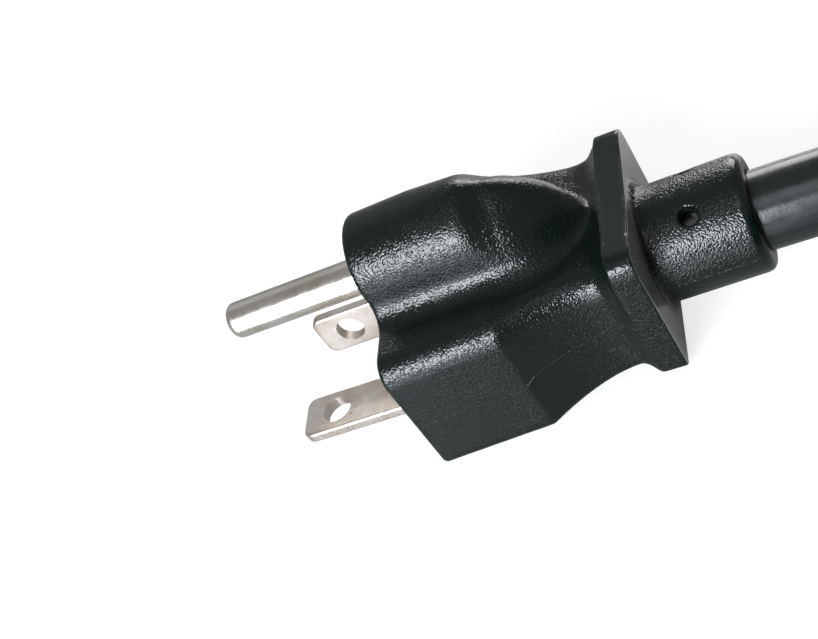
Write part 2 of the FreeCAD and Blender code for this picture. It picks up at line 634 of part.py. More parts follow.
def make_core(name, pin_x, pin_height, angle):
    """One core inside the plug: its insulation from near the crimp to the jacket, and its strands."""
    barrel_start = face_y + size["carrier_front"] + size["carrier_thickness"] + size["tail_length"] / 2
    crimp_end = barrel_start + size["crimp_length"]
    bundle = (size["core_diameter"] + size["core_gap"]) / math.sqrt(3)
    start = Vector(pin_x, crimp_end + size["bare_gap"], pin_height)
    end = Vector(bundle * math.cos(math.radians(angle)), face_y + jacket_start,
                 size["sleeve_height"] + bundle * math.sin(math.radians(angle)))
    path = s_bend(start, end, size["bare_gap"])
    wire_radius = size["strand_diameter"] / 2
    rod = swept_rod(path, start, BACK, size["core_diameter"] / 2)
    copper = swept_rod(path, start, BACK, wire_radius)
    bare = Part.makeCylinder(wire_radius, size["bare_gap"] + size["crimp_bore_depth"], start, BACK * -1)
    insulation = named_shape(f"{name}_core", rod.cut(copper))
    strands = named_shape(f"{name}_strands", copper.fuse(bare).removeSplitter())
    return insulation, strands


def rounded_route(points):
    """Straight runs joined by tangent arcs, each arc as large as its two runs allow."""
    edges = []
    here = points[0]
    for before, corner, after in zip(points, points[1:], points[2:]):
        arriving = corner - before
        leaving = after - corner
        shorter = min(arriving.Length, leaving.Length)
        turn = arriving.getAngle(leaving)
        setback = ARC_SHARE * shorter
        radius = setback / math.tan(turn / 2)
        print("cord bend radius", round(radius, 1), "turn", round(math.degrees(turn), 1))
        arriving.normalize()
        leaving.normalize()
        inward = leaving - arriving
        inward.normalize()
        entry = corner - arriving * setback
        leave = corner + leaving * setback
        apex = corner + inward * (radius / math.cos(turn / 2) - radius)
        edges.append(Part.LineSegment(here, entry).toShape())
        edges.append(Part.Arc(entry, apex, leave).toShape())
        here = leave
    edges.append(Part.LineSegment(here, points[-1]).toShape())
    return Part.Wire(edges)


def make_cord():
    """The jacketed cord from inside the sleeve to where it joins the coil."""
    points = [
        Vector(0, face_y + jacket_start, size["sleeve_height"]),
        Vector(0, face_y + size["cord_droop_start"], size["sleeve_height"]),
        Vector(0, face_y + size["cord_droop_end"], lying),
        Vector(0, face_y + size["coil_distance"], lying),
    ]
    path = rounded_route(points)
    rod = swept_rod(path, points[0], BACK, size["cord_diameter"] / 2)
    section = math.pi * size["cord_diameter"] ** 2 / 4
    print("cord volume over section times length", round(rod.Volume / (section * path.Length), 5))
    return named_shape("cord", rod)


def place_at_coil(body, angle):
    """Stand a body on the coil's axis, turned about it by an expression in degrees."""
    body.setExpression("Placement.Base.x", OUTER_LANE)
    body.setExpression("Placement.Base.y", f"{FACE_Y} + Sizes.coil_distance")
    body.setExpression("Placement.Rotation.Angle", f"({angle}) * 1 deg")


def turn_clockwise(body, name, sketch, angle):
    """Revolve a radial section about the coil's axis, clockwise seen from above."""
    ring = body.newObject("PartDesign::Revolution", name)
    ring.Profile = sketch
    ring.ReferenceAxis = (sketch, ["V_Axis"])
    ring.Reversed = True
    ring.setExpression("Angle", f"({angle}) * 1 deg")
    return ring


def lane_arc(sketch, label, aside, layer, first, last):
    """A turn's outline, this many half pitches from the middle lane and on this layer of turns."""
    radius = size["cord_diameter"] / 2
    across, height = top_lane + aside * pitch / 2, lying + layer * layer_rise
    outline = arc(sketch, (across, height), radius, first, last)
    bind(sketch, f"{label}_radius", Sketcher.Constraint("Radius", outline, radius), "Sizes.cord_diameter / 2")
    bind(sketch, f"{label}_lane", Sketcher.Constraint("DistanceX", *ORIGIN, outline, MIDDLE, across),
         f"{TOP_LANE} + {aside} * {PITCH} / 2")
    bind(sketch, f"{label}_height", Sketcher.Constraint("DistanceY", *ORIGIN, outline, MIDDLE, height),
         f"{LYING} + {layer} * {LAYER_RISE}")
    return outline


def point_on(centre, degrees):
    """A point on a turn's outline, this many degrees round from +X."""
    radius, turn = size["cord_diameter"] / 2, math.radians(degrees)
    return centre[0] + radius * math.cos(turn), centre[1] + radius * math.sin(turn)


def make_coil():
    """The outer shape of the coiled cord: three turns under two, with a part turn on top."""
    body = new_body("cord_coil")
    radius = size["cord_diameter"] / 2
    wide = BOTTOM_TURNS - 1
    slope = 30

    lower = new_sketch(body, "lower_turns_section", "XZ_Plane")
    outer_low = lane_arc(lower, "outer_low", wide, 0, -90, slope)
    outer_high = lane_arc(lower, "outer_high", wide - 1, 1, slope, 90)
    inner_high = lane_arc(lower, "inner_high", 1 - wide, 1, 90, 180 - slope)
    inner_low = lane_arc(lower, "inner_low", -wide, 0, 180 - slope, 270)
    high = lying + layer_rise
    half_high = half_spread - pitch / 2
    under = line(lower, (inner_lane, lying - radius), (outer_lane, lying - radius))
    outside = line(lower, point_on((outer_lane, lying), slope), point_on((top_lane + half_high, high), slope))
    over = line(lower, (top_lane + half_high, high + radius), (top_lane - half_high, high + radius))
    inside = line(lower, point_on((top_lane - half_high, high), 180 - slope),
                  point_on((inner_lane, lying), 180 - slope))
    smooth(lower, [
        (under, END, outer_low, START), (outer_low, END, outside, START), (outside, END, outer_high, START),
        (outer_high, END, over, START), (over, END, inner_high, START), (inner_high, END, inside, START),
        (inside, END, inner_low, START), (inner_low, END, under, START),
    ])

    ridge = new_sketch(body, "top_turn_section", "XZ_Plane")
    ridge.setExpression("AttachmentOffset.Rotation.Angle", "Sizes.top_turn_lead * 1 deg")
    ridge.setExpression("AttachmentOffset.Rotation.Axis.y", "1")
    ridge.setExpression("AttachmentOffset.Rotation.Axis.z", "0")
    crown = lane_arc(ridge, "crown", 0, wide, 0, 180)
    base = line(ridge, (top_lane - radius, high), (top_lane + radius, high))
    right = line(ridge, (top_lane + radius, high), (top_lane + radius, top_height))
    left = line(ridge, (top_lane - radius, top_height), (top_lane - radius, high))
    smooth(ridge, [(right, END, crown, START), (crown, END, left, START)])
    ridge.addConstraint(Sketcher.Constraint("Coincident", left, END, base, START))
    ridge.addConstraint(Sketcher.Constraint("Coincident", base, END, right, START))
    ridge.addConstraint(Sketcher.Constraint("Horizontal", base))
    ridge.addConstraint(Sketcher.Constraint("Vertical", right))
    bind(ridge, "base", Sketcher.Constraint("DistanceY", *ORIGIN, base, START, high),
         f"{LYING} + {LAYER_RISE}")

    turn_clockwise(body, "lower_turns", lower, "Sizes.coil_sweep")
    doc.recompute()
    turn_clockwise(body, "top_turn", ridge, "Sizes.top_turn_sweep")
    place_at_coil(body, "180")
    doc.recompute()
    return body


def make_lead(name, offset, insulated):
    """One stripped lead at the cord's far end, lying along the top of the coil: cover or bare end."""
    label = f"{name}_lead" if insulated else f"{name}_lead_end"
    body = new_body(label)
    diameter = "core_diameter" if insulated else "strand_diameter"
    sketch = new_sketch(body, "lead_section", "XZ_Plane")
    ring = circle(sketch, "diameter", (top_lane + offset[0], top_height + offset[1]), diameter)
    bind(sketch, "lane", Sketcher.Constraint("DistanceX", *ORIGIN, ring, MIDDLE, top_lane + offset[0]),
         f"{TOP_LANE} + {offset[0]:.4f}")
    bind(sketch, "height", Sketcher.Constraint("DistanceY", *ORIGIN, ring, MIDDLE, top_height + offset[1]),
         f"{LYING} + {BOTTOM_TURNS - 1} * {LAYER_RISE} + {offset[1]:.4f}")
    stripped = f"(Sizes.stripped_length / {TOP_LANE} * 180 / pi)"
    bare = f"(Sizes.bare_length / {TOP_LANE} * 180 / pi)"
    turn_clockwise(body, "lead", sketch, stripped if insulated else bare)
    jacket_end = "180 + Sizes.top_turn_lead - Sizes.top_turn_sweep"
    place_at_coil(body, jacket_end if insulated else f"{jacket_end} - {stripped}")
    doc.recompute()
    return body


def hull_face(radius):
    """A radial section's tight outline round the coil's three corner turns, at this distance from each."""
    inner, outer, top = (Vector(inner_lane, 0, lying), Vector(outer_lane, 0, lying),
                         Vector(top_lane, 0, top_height))
    down = UP * -1
    up_slope = (top - inner).normalize()
    down_slope = (outer - top).normalize()
    inside_normal = Vector(-up_slope.z, 0, up_slope.x)
    outside_normal = Vector(-down_slope.z, 0, down_slope.x)

    def bend(centre, first, last):
        halfway = (first + last).normalize()
        return Part.Arc(centre + first * radius, centre + halfway * radius, centre + last * radius).toShape()

    wire = Part.Wire([
        Part.LineSegment(inner + down * radius, outer + down * radius).toShape(),
        bend(outer, down, ACROSS), bend(outer, ACROSS, outside_normal),
        Part.LineSegment(outer + outside_normal * radius, top + outside_normal * radius).toShape(),
        bend(top, outside_normal, inside_normal),
        Part.LineSegment(top + inside_normal * radius, inner + inside_normal * radius).toShape(),
        bend(inner, inside_normal, ACROSS * -1), bend(inner, ACROSS * -1, down),
    ])
    return Part.Face(wire)


def make_tie(label, angle):
    """A strap pulled tight round all the turns."""
    radius = size["cord_diameter"] / 2
    band = hull_face(radius + size["tie_thickness"]).cut(hull_face(radius))
    sweep = math.degrees(size["tie_width"] / top_lane)
    strap = band.revolve(Vector(0, 0, 0), UP, sweep)
    strap.rotate(Vector(0, 0, 0), UP, size[angle] - sweep / 2)
    strap.translate(Vector(outer_lane, face_y + size["coil_distance"], 0))
    return named_shape(label, strap)


def fuse(label, pieces):
    joined = doc.addObject("Part::MultiFuse", label)
    joined.Label = label
    joined.Shapes = pieces
    return joined


def cut(label, base, tool):
    result = doc.addObject("Part::Cut", label)
    result.Label = label
    result.Base = base
    result.Tool = tool
    return result


carrier_blank = make_carrier_blank()
upright_blade = make_blade("upright_blade", "-Sizes.blade_spacing / 2", 90)
level_blade = make_blade("level_blade", "Sizes.blade_spacing / 2", 0)
ground_pin = make_ground_pin()
contacts = [upright_blade, level_blade, ground_pin]
outer_moulding = make_outer_moulding()

half_spacing = size["blade_spacing"] / 2
ground_height = size["blade_height"] + size["ground_offset"]
core_pieces = [
    *make_core("ground", 0, ground_height, 90),
    *make_core("upright_line", -half_spacing, size["blade_height"], 210),
    *make_core("level_line", half_spacing, size["blade_height"], 330),
]
cord = make_cord()
# A shallow ring round the ground pin, so that no flash stands out of the front face
pin_relief = named_shape("pin_relief", Part.makeCylinder(
    size["pin_relief_diameter"] / 2, size["pin_relief_depth"], Vector(0, face_y, ground_height), BACK))

pin_carrier = cut("pin_carrier", carrier_blank, fuse("contacts_together", contacts))
held_inside = fuse("held_inside", [carrier_blank, *contacts, *core_pieces, cord, pin_relief])
moulded_body = cut("moulded_body", outer_moulding, held_inside)

coil = make_coil()
bundle = (size["core_diameter"] + size["core_gap"]) / math.sqrt(3)
leads = []
for name, angle in (("ground", 90), ("upright_line", 210), ("level_line", 330)):
    offset = (bundle * math.cos(math.radians(angle)), bundle * math.sin(math.radians(angle)))
    leads.append(make_lead(name, offset, True))
    leads.append(make_lead(name, offset, False))
ties = [make_tie("coil_tie_1", "tie_angle_near"), make_tie("coil_tie_2", "tie_angle_far")]
doc.recompute()

nodes = [moulded_body, pin_carrier, *contacts, *core_pieces, cord, coil, *ties, *leads]
for obj in doc.Objects:
    if "Invalid" in obj.State or "Error" in obj.State:
        raise RuntimeError(f"{obj.Name} did not build: {obj.State}")
for node in nodes:
    if node.Shape.isNull() or not node.Shape.isValid():
        raise RuntimeError(f"{node.Label} has no valid shape")

os.makedirs("parts", exist_ok=True)
for node in nodes:
    node.Shape.exportStep(f"parts/{node.Label}.step")
    print(node.Label, len(node.Shape.Solids), round(node.Shape.Volume, 1))
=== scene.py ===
"""Looks for the grounded power plug: black moulded body, plated pins and a satin cord in a tied coil.

Lengths here are in millimetres times MM. X runs across the blades, -Y is the way the pins point and +Z
is towards the ground pin, as in the CAD model.
"""
import json
import math

import bpy
from mathutils import Matrix, Vector

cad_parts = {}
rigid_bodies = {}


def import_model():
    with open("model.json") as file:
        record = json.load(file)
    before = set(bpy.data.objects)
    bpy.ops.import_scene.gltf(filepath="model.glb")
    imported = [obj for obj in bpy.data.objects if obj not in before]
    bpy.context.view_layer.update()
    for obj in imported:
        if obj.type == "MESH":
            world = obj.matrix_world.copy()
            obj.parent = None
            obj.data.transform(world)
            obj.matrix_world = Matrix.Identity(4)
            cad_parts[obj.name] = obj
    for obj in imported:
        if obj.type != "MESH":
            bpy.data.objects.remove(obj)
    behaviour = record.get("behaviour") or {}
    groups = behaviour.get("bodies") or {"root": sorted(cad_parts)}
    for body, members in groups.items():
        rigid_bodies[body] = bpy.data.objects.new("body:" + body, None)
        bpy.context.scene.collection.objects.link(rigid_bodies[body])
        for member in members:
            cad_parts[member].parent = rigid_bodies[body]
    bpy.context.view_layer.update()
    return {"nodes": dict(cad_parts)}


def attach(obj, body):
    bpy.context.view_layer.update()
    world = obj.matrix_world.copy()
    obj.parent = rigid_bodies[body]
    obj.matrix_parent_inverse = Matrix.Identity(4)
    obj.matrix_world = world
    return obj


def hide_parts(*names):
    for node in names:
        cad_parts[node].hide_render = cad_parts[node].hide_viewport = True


MM = 0.001

for leftover in list(bpy.data.objects):
    bpy.data.objects.remove(leftover)
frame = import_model()
nodes = frame["nodes"]
scene = bpy.context.scene
scene.view_settings.view_transform = "Standard"

# Camera: solved from the pins, the guard plate and the cord in the photograph
IMAGE_WIDTH, IMAGE_HEIGHT = 818, 639
FOCAL_PIXELS = 1258.9
OPTICAL_CENTRE = (411.1, 319.4)
CAMERA_PLACE = Vector((110.35, 48.06, 106.07)) * MM
CAMERA_RIGHT = Vector((-0.05715, 0.87423, -0.48213))
CAMERA_DOWN = Vector((0.71172, -0.30298, -0.63376))
SENSOR_WIDTH = 36.0


def make_camera():
    data = bpy.data.cameras.new("camera")
    data.sensor_width = SENSOR_WIDTH
    data.lens = FOCAL_PIXELS / IMAGE_WIDTH * SENSOR_WIDTH
    data.shift_x = (IMAGE_WIDTH / 2 - OPTICAL_CENTRE[0]) / IMAGE_WIDTH
    data.shift_y = (OPTICAL_CENTRE[1] - IMAGE_HEIGHT / 2) / IMAGE_WIDTH
    data.clip_start = 0.005
    camera = bpy.data.objects.new("camera", data)
    right = CAMERA_RIGHT.normalized()
    up = (-CAMERA_DOWN).normalized()
    back = right.cross(up)
    turn = Matrix((right, up, back)).transposed()
    camera.matrix_world = Matrix.Translation(CAMERA_PLACE) @ turn.to_4x4()
    scene.collection.objects.link(camera)
    scene.camera = camera


make_camera()

# Cord: the route repeats the CAD model's points, then three turns side by side, two turns in the grooves
# on them and a part turn on top
CORD_DIAMETER = 9.54 * MM
LYING = 5.57 * MM
FACE_Y = -11.85 * MM
SLEEVE_HEIGHT = 9.2 * MM
COIL_DISTANCE = 104 * MM
CORD_ROUTE = [
    Vector((0, FACE_Y + 31.2 * MM, SLEEVE_HEIGHT)),
    Vector((0, FACE_Y + 56 * MM, SLEEVE_HEIGHT)),
    Vector((0, FACE_Y + 83 * MM, LYING)),
    Vector((0, FACE_Y + COIL_DISTANCE, LYING)),
]
TURN_PITCH = CORD_DIAMETER + 0.1 * MM
MIDDLE_RADIUS = 47.5 * MM
# Half pitches from the middle lane, turn by turn: three turns below, two on them, one on top
LANE_STEPS = (2, 0, -2, -1, 1, 0)
LAST_LOW_TURN = 2
TOP_TURN = 5
TOP_SWEEP = 190
POINTS_PER_TURN = 24
# Degrees of a turn between which it moves over to the next lane
LOW_SHIFT = (280, 352)
LATE_SHIFTS = {3: (275, 315), 4: (258, 290)}
COIL_CENTRE = Vector((MIDDLE_RADIUS + TURN_PITCH, FACE_Y + COIL_DISTANCE, 0))


def fade(value, start, end):
    """0 up to the start, 1 from the end on, and a smooth step between them."""
    share = min(max((value - start) / (end - start), 0), 1)
    return share * share * (3 - 2 * share)


def turn_radius(turn, turned):
    """Radius of a turn, after this many degrees of it: near its end it moves over to the next lane."""
    shift = LATE_SHIFTS.get(turn, LOW_SHIFT)
    moved = fade(turned, *shift) if turn < TOP_TURN else 0
    here, after = LANE_STEPS[turn], LANE_STEPS[min(turn + 1, TOP_TURN)]
    return MIDDLE_RADIUS + (here + (after - here) * moved) * TURN_PITCH / 2


def turn_height(turn, turned):
    """Height of a turn there: on the floor's ties, or resting in the groove of the turns beneath it."""
    height = LYING
    if turn < LAST_LOW_TURN:
        return height
    radius = turn_radius(turn, turned)
    beneath = range(turn) if turn > LAST_LOW_TURN else range(LAST_LOW_TURN)
    for lower in beneath:
        aside = abs(radius - turn_radius(lower, turned))
        if aside < TURN_PITCH:
            height = max(height, turn_height(lower, turned) + math.sqrt(TURN_PITCH ** 2 - aside ** 2))
    return height


def coil_point(turn, turned, spread=1.0):
    angle = math.radians(180 - turned)
    radius = turn_radius(turn, turned) * spread
    height = turn_height(turn, turned)
    return COIL_CENTRE + Vector((radius * math.cos(angle), radius * math.sin(angle), height))


def coil_points():
    """Control points of the turns, half a step round from where the route meets them."""
    step = 360 / POINTS_PER_TURN
    spread = 1 / math.cos(math.radians(step / 2))
    points = []
    for turn in range(TOP_TURN + 1):
        sweep = TOP_SWEEP if turn == TOP_TURN else 360
        points += [coil_point(turn, (count + 0.5) * step, spread) for count in range(int(sweep / step))]
    points.append(coil_point(TOP_TURN, TOP_SWEEP))
    return points


def make_cord():
    curve = bpy.data.curves.new("cord_jacket", "CURVE")
    curve.dimensions = "3D"
    curve.resolution_u = 8
    curve.bevel_depth = 1.0  # so that each control point's radius is the cord's own
    curve.bevel_resolution = 10
    curve.use_fill_caps = True
    points = CORD_ROUTE + coil_points()
    spline = curve.splines.new("NURBS")
    spline.points.add(len(points) - 1)
    for control, place in zip(spline.points, points):
        control.co = (*place, 1)
        control.radius = CORD_DIAMETER / 2
    spline.order_u = 3
    spline.use_endpoint_u = True
    jacket = bpy.data.objects.new("cord_jacket", curve)
    scene.collection.objects.link(jacket)
    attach(jacket, "root")
    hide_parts("cord", "cord_coil")
    return jacket


cord_jacket = make_cord()


# Body: the CAD moulding with its creases softened, most on the grip and least at the guard plate
BODY_VOXEL = 0.26 * MM
RIM_END = FACE_Y + 1.2 * MM
NOSE_END = FACE_Y + 16 * MM
GUARD_FRONT = FACE_Y + 28.5 * MM
GUARD_BACK = FACE_Y + 31.7 * MM
SLEEVE_START = GUARD_BACK + 0.5 * MM
# The flare's softness runs on over the guard's front edge, further at its top than at its sides
FLARE_OVERLAP_TOP = 1.1 * MM
FLARE_OVERLAP_SIDE = 0.6 * MM
FLARE_TOP_HEIGHT = 14 * MM
CREASE_SOFTNESS = {"rim": 0.1, "nose": 0.45, "grip": 0.9, "guard": 0.1, "sleeve": 0.4}
SOFTENING_ROUNDS = 6
# Moves of the body's surface, in millimetres: distance from the front face, and how far
# The ground lobe's crest sinks behind the nose, less in its middle
CREST_DROP = [
    (8, 0), (11.6, 0.3), (14, 0.5), (15.2, 0.9), (16.4, 1.4), (17.6, 1.6), (18.8, 1.3), (20, 1.05),
    (21.2, 0.75), (22.5, 0.4), (24, 0),
]
CREST_MIDDLE_SHARE = 0.4
CREST_MIDDLE_WIDTH = 3.5
CREST_HEIGHTS = (17, 24)
# The lobe's crest line stands up where it runs out into the flare
CREST_RIDGE = [(17, 0), (20, 0.3), (22, 0.6), (24, 0.95), (25.5, 1.0), (26.5, 0.6), (27.5, 0.2), (28.5, 0)]
CREST_RIDGE_WIDTH = 4.2
CREST_RIDGE_FLOOR = 12
# The top of the flare and of the guard plate rises, and the guard plate's bottom sinks
GUARD_RISE = [
    (24.5, 0), (25.5, 0.07), (26.5, 0.3), (27.3, 0.6), (28, 1.05), (28.5, 1.3), (28.9, 1.15), (31.9, 1.1),
]
GUARD_TOP_HEIGHTS = (11, 17)
GUARD_SINK = 0.7
GUARD_SINK_PLACES = (27.5, 28.3)
GUARD_BOTTOM_HEIGHTS = (6, 2)
GUARD_END = 31.9


def between_stops(stops, place):
    """Straight-line value between the stops of a table, held at its ends."""
    for (first, low), (second, high) in zip(stops, stops[1:]):
        if first <= place <= second:
            return low + (high - low) * (place - first) / (second - first)
    return stops[0][1] if place < stops[0][0] else stops[-1][1]


def fitted(place):
    """A point of the body, moved by what the photograph's outline asks at the crest and the guard plate."""
    along = (place.y - FACE_Y) / MM
    height = place.z / MM
    off_middle = abs(place.x) / MM
    side_share = 1 - CREST_MIDDLE_SHARE
    crest_share = CREST_MIDDLE_SHARE + side_share * fade(off_middle, 0, CREST_MIDDLE_WIDTH)
    rise = -between_stops(CREST_DROP, along) * crest_share * fade(height, *CREST_HEIGHTS)
    if height > CREST_RIDGE_FLOOR:
        rise += between_stops(CREST_RIDGE, along) * fade(off_middle, CREST_RIDGE_WIDTH, 0)
    if along < GUARD_END:
        rise += between_stops(GUARD_RISE, along) * fade(height, *GUARD_TOP_HEIGHTS)
        rise -= GUARD_SINK * fade(along, *GUARD_SINK_PLACES) * fade(height, *GUARD_BOTTOM_HEIGHTS)
    return place + Vector((0, 0, rise * MM))


def crease_softness(place):
    """How much the body's creases are softened at a point."""
    overlap = FLARE_OVERLAP_TOP if place.z > FLARE_TOP_HEIGHT else FLARE_OVERLAP_SIDE
    if place.y < RIM_END:
        region = "rim"
    elif place.y > SLEEVE_START:
        region = "sleeve"
    elif place.y > GUARD_FRONT + overlap:
        region = "guard"
    elif place.y > NOSE_END:
        region = "grip"
    else:
        region = "nose"
    return CREASE_SOFTNESS[region]


def applied(piece):
    """Bake a piece's modifiers into its mesh."""
    bpy.context.view_layer.update()
    depsgraph = bpy.context.evaluated_depsgraph_get()
    baked = bpy.data.meshes.new_from_object(piece.evaluated_get(depsgraph))
    piece.modifiers.clear()
    piece.data = baked


def make_body():
    mesh = nodes["moulded_body"].data.copy()
    mesh.materials.clear()
    body = bpy.data.objects.new("plug_body", mesh)
    scene.collection.objects.link(body)
    remesh = body.modifiers.new("even_faces", "REMESH")
    remesh.mode = "VOXEL"
    remesh.voxel_size = BODY_VOXEL
    remesh.use_smooth_shade = True
    applied(body)
    group = body.vertex_groups.new(name="creases")
    for vertex in body.data.vertices:
        vertex.co = fitted(vertex.co)
        group.add([vertex.index], crease_softness(vertex.co), "REPLACE")
    soften = body.modifiers.new("soft_creases", "SMOOTH")
    soften.factor = 0.5
    soften.iterations = SOFTENING_ROUNDS
    soften.vertex_group = group.name
    applied(body)
    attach(body, "root")
    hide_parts("moulded_body")
    return body


plug_body = make_body()


# Materials
# Across and deep: rounded cells, fine pebbles and wider lumps make the grain, thinned where it is smooth
CELL_SIZE, CELL_DEPTH = 0.30 * MM, 0.025 * MM
PEBBLE_SIZE, PEBBLE_DEPTH = 0.21 * MM, 0.046 * MM
LUMP_SIZE, LUMP_DEPTH = 0.55 * MM, 0.02 * MM
SMOOTH_GRAIN_SHARE = 0.12
BEAD_WIDTH, BEAD_DEPTH = 0.05 * MM, 0.06 * MM
# Painted reflection: grey added to the colour of the guard's rear face, standing in for the glancing
# reflection that lightens it
REAR_FACE_PAINTED_REFLECTION = 0.26
END_RING = (FACE_Y + 42.9 * MM, FACE_Y + 43.3 * MM)
# The polish of the guard's back, and the painted reflection on it, end in a ring round the sleeve
POLISH_AND_PAINTED_REFLECTION_EDGE = (7.6 * MM, 8.8 * MM)
# Where the mould's halves meet: place along the plug and height, in millimetres
PARTING_TOP = 10.0
PARTING_LINE = [
    (-12, 7.6), (2.1, 7.45), (4, 8.5), (8.3, 9.05), (11.3, 9.15), (15, 9.8), (16.6, 8.9), (17.2, 8.4),
    (19, 8.3), (33, 8.4),
]


def grey(value):
    return (value, value, value, 1)


class Shader:
    """A short way to build a node material."""

    def __init__(self, name):
        self.material = bpy.data.materials.new(name)
        self.material.use_nodes = True
        self.tree = self.material.node_tree
        self.principled = self.tree.nodes["Principled BSDF"]

    def node(self, kind, links=(), **values):
        made = self.tree.nodes.new(kind)
        for name, value in values.items():
            if name in made.inputs:
                made.inputs[name].default_value = value
            else:
                setattr(made, name, value)
        for socket, source in links:
            self.tree.links.new(source, made.inputs[socket])
        return made

    def feed(self, socket, value):
        """Give a socket a plain number or what another node puts out."""
        if isinstance(value, (int, float)):
            socket.default_value = value
        else:
            self.tree.links.new(value, socket)

    def place(self, scale=(1, 1, 1)):
        """Object coordinates, scaled."""
        coordinates = self.node("ShaderNodeTexCoord")
        mapping = self.node("ShaderNodeMapping", [("Vector", coordinates.outputs["Object"])], Scale=scale)
        return mapping.outputs["Vector"]

    def noise(self, size, detail=2.0, roughness=0.5, vector=None):
        """Noise whose lumps are about this many metres across."""
        links = [("Vector", vector or self.place())]
        made = self.node("ShaderNodeTexNoise", links, Scale=1 / size, Detail=detail, Roughness=roughness)
        return made.outputs["Fac"]

    def ramp(self, source, stops):
        made = self.node("ShaderNodeValToRGB", [("Fac", source)])
        elements = made.color_ramp.elements
        for element, (place, colour) in zip(elements, stops[:2]):
            element.position = place
            element.color = colour
        for place, colour in stops[2:]:
            elements.new(place).color = colour
        return made.outputs["Color"]

    def range(self, source, low, high, new_low, new_high):
        made = self.node("ShaderNodeMapRange", [("Value", source)])
        for name, value in (("From Min", low), ("From Max", high), ("To Min", new_low), ("To Max", new_high)):
            made.inputs[name].default_value = value
        return made.outputs["Result"]

    def axes(self):
        """The three object coordinates, in metres."""
        coordinates = self.node("ShaderNodeTexCoord")
        split = self.node("ShaderNodeSeparateXYZ", [("Vector", coordinates.outputs["Object"])])
        return split.outputs

    def facing(self, axis):
        """How far the surface faces this way, 1 at the most."""
        geometry = self.node("ShaderNodeNewGeometry")
        split = self.node("ShaderNodeSeparateXYZ", [("Vector", geometry.outputs["Normal"])])
        return split.outputs[axis]

    def math(self, operation, first, second):
        made = self.node("ShaderNodeMath", operation=operation)
        for socket, value in zip(made.inputs, (first, second)):
            self.feed(socket, value)
        return made.outputs["Value"]

    def multiply(self, first, second):
        return self.math("MULTIPLY", first, second)

    def minus(self, first, second):
        return self.math("SUBTRACT", first, second)

    def distance(self, first, second):
        """Length of the two sides' diagonal."""
        squares = self.math("ADD", self.multiply(first, first), self.multiply(second, second))
        return self.math("SQRT", squares, 0)

    def maximum(self, first, second):
        return self.math("MAXIMUM", first, second)

    def between(self, source, low, high, edge):
        """1 from low to high, and 0 beyond a soft edge at each side."""
        rise = self.range(source, low - edge, low, 0, 1)
        fall = self.range(source, high, high + edge, 1, 0)
        return self.multiply(rise, fall)

    def parting_height(self, along):
        """Height of the mould's parting line at each distance along the plug."""
        share = self.range(along, PARTING_LINE[0][0] * MM, PARTING_LINE[-1][0] * MM, 0, 1)
        first, last = PARTING_LINE[0][0], PARTING_LINE[-1][0]
        stops = [
            ((place - first) / (last - first), grey(height / PARTING_TOP)) for place, height in PARTING_LINE
        ]
        return self.multiply(self.ramp(share, stops), PARTING_TOP * MM)

    def bump(self, height, distance, strength=1.0, normal=None):
        made = self.node("ShaderNodeBump", [("Height", height)], Distance=distance)
        self.feed(made.inputs["Strength"], strength)
        if normal:
            self.tree.links.new(normal, made.inputs["Normal"])
        return made.outputs["Normal"]

    def set(self, **values):
        """Plain values on the principled shader's own sockets."""
        for name, value in values.items():
            self.principled.inputs[name.replace("_", " ")].default_value = value

    def link(self, socket, source):
        self.tree.links.new(source, self.principled.inputs[socket])


